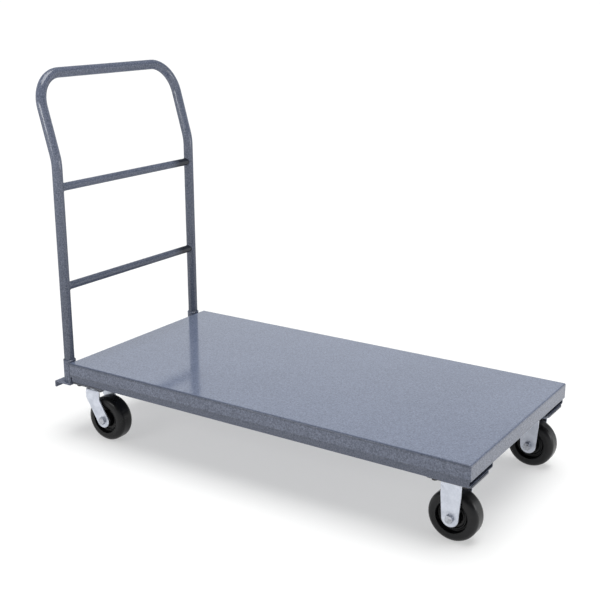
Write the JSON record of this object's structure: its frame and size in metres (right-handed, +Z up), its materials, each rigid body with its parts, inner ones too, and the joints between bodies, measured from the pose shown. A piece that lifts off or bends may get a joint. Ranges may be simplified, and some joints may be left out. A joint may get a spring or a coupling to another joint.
{
  "type": "platform truck",
  "caption": "Steel platform truck: folded sheet deck, lift-out bent-tube handle with crossbars, rigid casters in front and swivel casters at the handle end.",
  "frame": {"origin": "on the floor, at the centre of the truck's bounding box in plan, handle in place", "axes": "+X towards the front end with the rigid casters, +Y to the left of a person pushing, +Z up"},
  "size_m": [1.3234, 0.6096, 1.0229],
  "materials": {
    "grey_enamel": "satin blue-grey enamel over sheet steel and tube",
    "zinc_plate": "bright zinc-plated pressed steel",
    "zinc_dull": "dull grey zinc on the casters' mounting plates",
    "zinc_fastener": "zinc-plated fasteners",
    "black_fastener": "black-oxide mounting bolts and nuts",
    "bearing_steel": "oiled bearing steel",
    "wheel_black": "semi-gloss black moulded resin"
  },
  "bodies": {
    "frame": {"deck_pan": "grey_enamel", "rear_shelf": "grey_enamel", "cross_brace_front": "grey_enamel", "cross_brace_middle": "grey_enamel", "cross_brace_rear": "grey_enamel", "side_rail_right": "grey_enamel", "handle_socket_right": "grey_enamel", "rigid_plate_right": "zinc_dull", "rigid_fork_right": "zinc_plate", "swivel_plate_right": "zinc_dull", "swivel_balls_right": "bearing_steel", "kingpin_right": "zinc_plate", "kingpin_nut_right": "zinc_plate", "ball_retainer_right": "zinc_plate", "caster_bolts_front_right": "black_fastener", "caster_nuts_front_right": "black_fastener", "axle_bushing_front_right": "bearing_steel", "hub_washers_front_right": "zinc_fastener", "axle_bolt_front_right": "zinc_fastener", "axle_nut_front_right": "zinc_fastener", "caster_bolts_rear_right": "black_fastener", "caster_nuts_rear_right": "black_fastener", "side_rail_left": "grey_enamel", "handle_socket_left": "grey_enamel", "rigid_plate_left": "zinc_dull", "rigid_fork_left": "zinc_plate", "swivel_plate_left": "zinc_dull", "swivel_balls_left": "bearing_steel", "kingpin_left": "zinc_plate", "kingpin_nut_left": "zinc_plate", "ball_retainer_left": "zinc_plate", "caster_bolts_front_left": "black_fastener", "caster_nuts_front_left": "black_fastener", "axle_bushing_front_left": "bearing_steel", "hub_washers_front_left": "zinc_fastener", "axle_bolt_front_left": "zinc_fastener", "axle_nut_front_left": "zinc_fastener", "caster_bolts_rear_left": "black_fastener", "caster_nuts_rear_left": "black_fastener"},
    "handle": {"handle_tube": "grey_enamel", "handle_crossbar_lower": "grey_enamel", "handle_crossbar_upper": "grey_enamel"},
    "swivel_right": {"swivel_fork_right": "zinc_plate", "axle_bushing_rear_right": "bearing_steel", "hub_washers_rear_right": "zinc_fastener", "axle_bolt_rear_right": "zinc_fastener", "axle_nut_rear_right": "zinc_fastener"},
    "wheel_front_right": {"wheel_front_right": "wheel_black", "wheel_bearing_front_right": "bearing_steel"},
    "wheel_rear_right": {"wheel_rear_right": "wheel_black", "wheel_bearing_rear_right": "bearing_steel"},
    "swivel_left": {"swivel_fork_left": "zinc_plate", "axle_bushing_rear_left": "bearing_steel", "hub_washers_rear_left": "zinc_fastener", "axle_bolt_rear_left": "zinc_fastener", "axle_nut_rear_left": "zinc_fastener"},
    "wheel_front_left": {"wheel_front_left": "wheel_black", "wheel_bearing_front_left": "bearing_steel"},
    "wheel_rear_left": {"wheel_rear_left": "wheel_black", "wheel_bearing_rear_left": "bearing_steel"}
  },
  "joints": [
    {"name": "handle_lift", "type": "slide", "parent": "frame", "child": "handle", "axis": [0, 0, 1], "range_m": [0, 0.12]},
    {"name": "swivel_turn_right", "type": "hinge", "parent": "frame", "child": "swivel_right", "pos_m": [-0.50197, -0.2478, 0.1651], "axis": [0, 0, 1], "continuous": true},
    {"name": "wheel_spin_front_right", "type": "hinge", "parent": "frame", "child": "wheel_front_right", "pos_m": [0.59823, -0.2403, 0.0635], "axis": [0, 1, 0], "continuous": true},
    {"name": "wheel_spin_rear_right", "type": "hinge", "parent": "swivel_right", "child": "wheel_rear_right", "pos_m": [-0.46498, -0.2478, 0.0635], "axis": [0, 1, 0], "continuous": true},
    {"name": "swivel_turn_left", "type": "hinge", "parent": "frame", "child": "swivel_left", "pos_m": [-0.50197, 0.2478, 0.1651], "axis": [0, 0, 1], "continuous": true},
    {"name": "wheel_spin_front_left", "type": "hinge", "parent": "frame", "child": "wheel_front_left", "pos_m": [0.59823, 0.2403, 0.0635], "axis": [0, 1, 0], "continuous": true},
    {"name": "wheel_spin_rear_left", "type": "hinge", "parent": "swivel_left", "child": "wheel_rear_left", "pos_m": [-0.46498, 0.2478, 0.0635], "axis": [0, 1, 0], "continuous": true}
  ]
}
